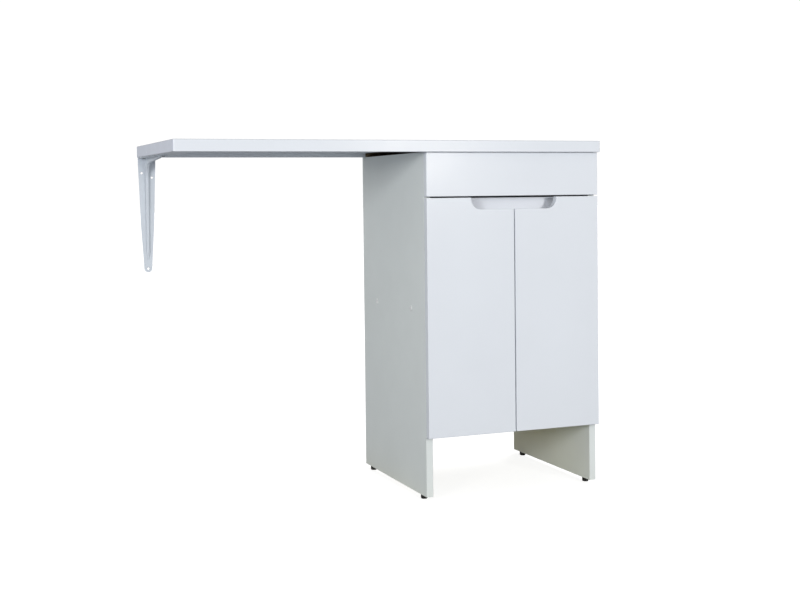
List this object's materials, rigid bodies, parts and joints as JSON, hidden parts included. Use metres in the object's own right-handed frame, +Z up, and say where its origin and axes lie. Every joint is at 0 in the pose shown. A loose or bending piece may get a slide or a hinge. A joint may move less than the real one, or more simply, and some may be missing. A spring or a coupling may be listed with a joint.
{
  "type": "sewing table",
  "caption": "White worktop on a narrow cupboard with a drawer and hinged doors, its long overhanging end carried by a pressed steel wall bracket.",
  "frame": {"origin": "on the floor under the middle of the worktop's outline", "axes": "+X to the right along the worktop, +Y to the back (wall side), +Z up; the doors and drawer face -Y"},
  "size_m": [0.926, 0.394, 0.75],
  "materials": {
    "board_white": "white melamine-faced chipboard, satin",
    "drawer_board_white": "white melamine-faced board, satin",
    "front_gloss_white": "white lacquered fibreboard, semi-gloss",
    "edge_band_white": "white PVC edge band, semi-gloss",
    "hardboard_white": "white-faced hardboard",
    "hardwood": "fluted beech dowel",
    "zinc_steel": "zinc plated",
    "runner_steel": "bright zinc plated sheet",
    "nickel_steel": "nickel plated",
    "powder_white_steel": "white powder coat",
    "black_plastic": "moulded black",
    "white_plastic": "moulded white",
    "clear_rubber": "clear soft bumper"
  },
  "bodies": {
    "cabinet": {"worktop_board": "board_white", "worktop_edge_band": "edge_band_white", "worktop_front_strip": "board_white", "worktop_back_strip": "board_white", "worktop_left_strip": "board_white", "worktop_right_strip": "board_white", "worktop_packing_strip": "board_white", "left_side_panel": "board_white", "right_side_panel": "board_white", "bottom_panel": "board_white", "fixed_shelf": "board_white", "front_rail": "board_white", "top_front_rail": "board_white", "top_rear_rail": "board_white", "back_panel": "hardboard_white", "cam_locks": "zinc_steel", "cam_bolts": "zinc_steel", "wood_dowels": "hardwood", "shelf_screws": "zinc_steel", "screw_caps": "white_plastic", "worktop_screws": "zinc_steel", "back_panel_nails": "zinc_steel", "glide_feet": "black_plastic", "glide_nails": "zinc_steel", "wall_bracket": "powder_white_steel", "bracket_screws": "zinc_steel", "runner_cabinet_left": "runner_steel", "runner_cabinet_right": "runner_steel", "runner_cabinet_screws": "zinc_steel", "hinge_arms": "nickel_steel", "hinge_arm_pins": "nickel_steel", "hinge_plates": "nickel_steel", "hinge_plate_screws": "zinc_steel", "hinge_arm_screws": "zinc_steel"},
    "runner_middle": {"runner_middle_left": "runner_steel", "runner_middle_right": "runner_steel"},
    "drawer": {"drawer_front": "front_gloss_white", "drawer_side_left": "drawer_board_white", "drawer_side_right": "drawer_board_white", "drawer_inner_front": "drawer_board_white", "drawer_back": "drawer_board_white", "drawer_bottom": "hardboard_white", "drawer_front_screws": "zinc_steel", "drawer_box_screws": "zinc_steel", "runner_drawer_left": "runner_steel", "runner_drawer_right": "runner_steel", "runner_drawer_screws": "zinc_steel"},
    "left_hinge_link": {"left_hinge_links": "nickel_steel"},
    "left_door": {"left_door": "front_gloss_white", "left_hinge_cups": "nickel_steel", "left_hinge_cup_pins": "nickel_steel", "left_hinge_cup_screws": "zinc_steel", "left_door_bumpers": "clear_rubber"},
    "right_hinge_link": {"right_hinge_links": "nickel_steel"},
    "right_door": {"right_door": "front_gloss_white", "right_hinge_cups": "nickel_steel", "right_hinge_cup_pins": "nickel_steel", "right_hinge_cup_screws": "zinc_steel", "right_door_bumpers": "clear_rubber"}
  },
  "joints": [
    {"name": "drawer_slide", "type": "slide", "parent": "cabinet", "child": "drawer", "axis": [0, -1, 0], "range_m": [0, 0.33]},
    {"name": "runner_middle_slide", "type": "slide", "parent": "cabinet", "child": "runner_middle", "axis": [0, -1, 0], "range_m": [0, 0.165]},
    {"name": "left_link_swing", "type": "hinge", "parent": "cabinet", "child": "left_hinge_link", "pos_m": [0.0865, -0.176, 0.383], "axis": [0, 0, 1], "range_deg": [0, 50]},
    {"name": "left_door_swing", "type": "hinge", "parent": "left_hinge_link", "child": "left_door", "pos_m": [0.0705, -0.1736, 0.383], "axis": [0, 0, -1], "range_deg": [0, 150]},
    {"name": "right_link_swing", "type": "hinge", "parent": "cabinet", "child": "right_hinge_link", "pos_m": [0.4355, -0.176, 0.383], "axis": [0, 0, -1], "range_deg": [0, 50]},
    {"name": "right_door_swing", "type": "hinge", "parent": "right_hinge_link", "child": "right_door", "pos_m": [0.4515, -0.1736, 0.383], "axis": [0, 0, 1], "range_deg": [0, 150]}
  ],
  "couplings": [
    {"joint": "runner_middle_slide", "follows": "drawer_slide", "ratio": 0.5},
    {"joint": "left_link_swing", "follows": "left_door_swing", "ratio": 0.33333},
    {"joint": "right_link_swing", "follows": "right_door_swing", "ratio": 0.33333}
  ]
}
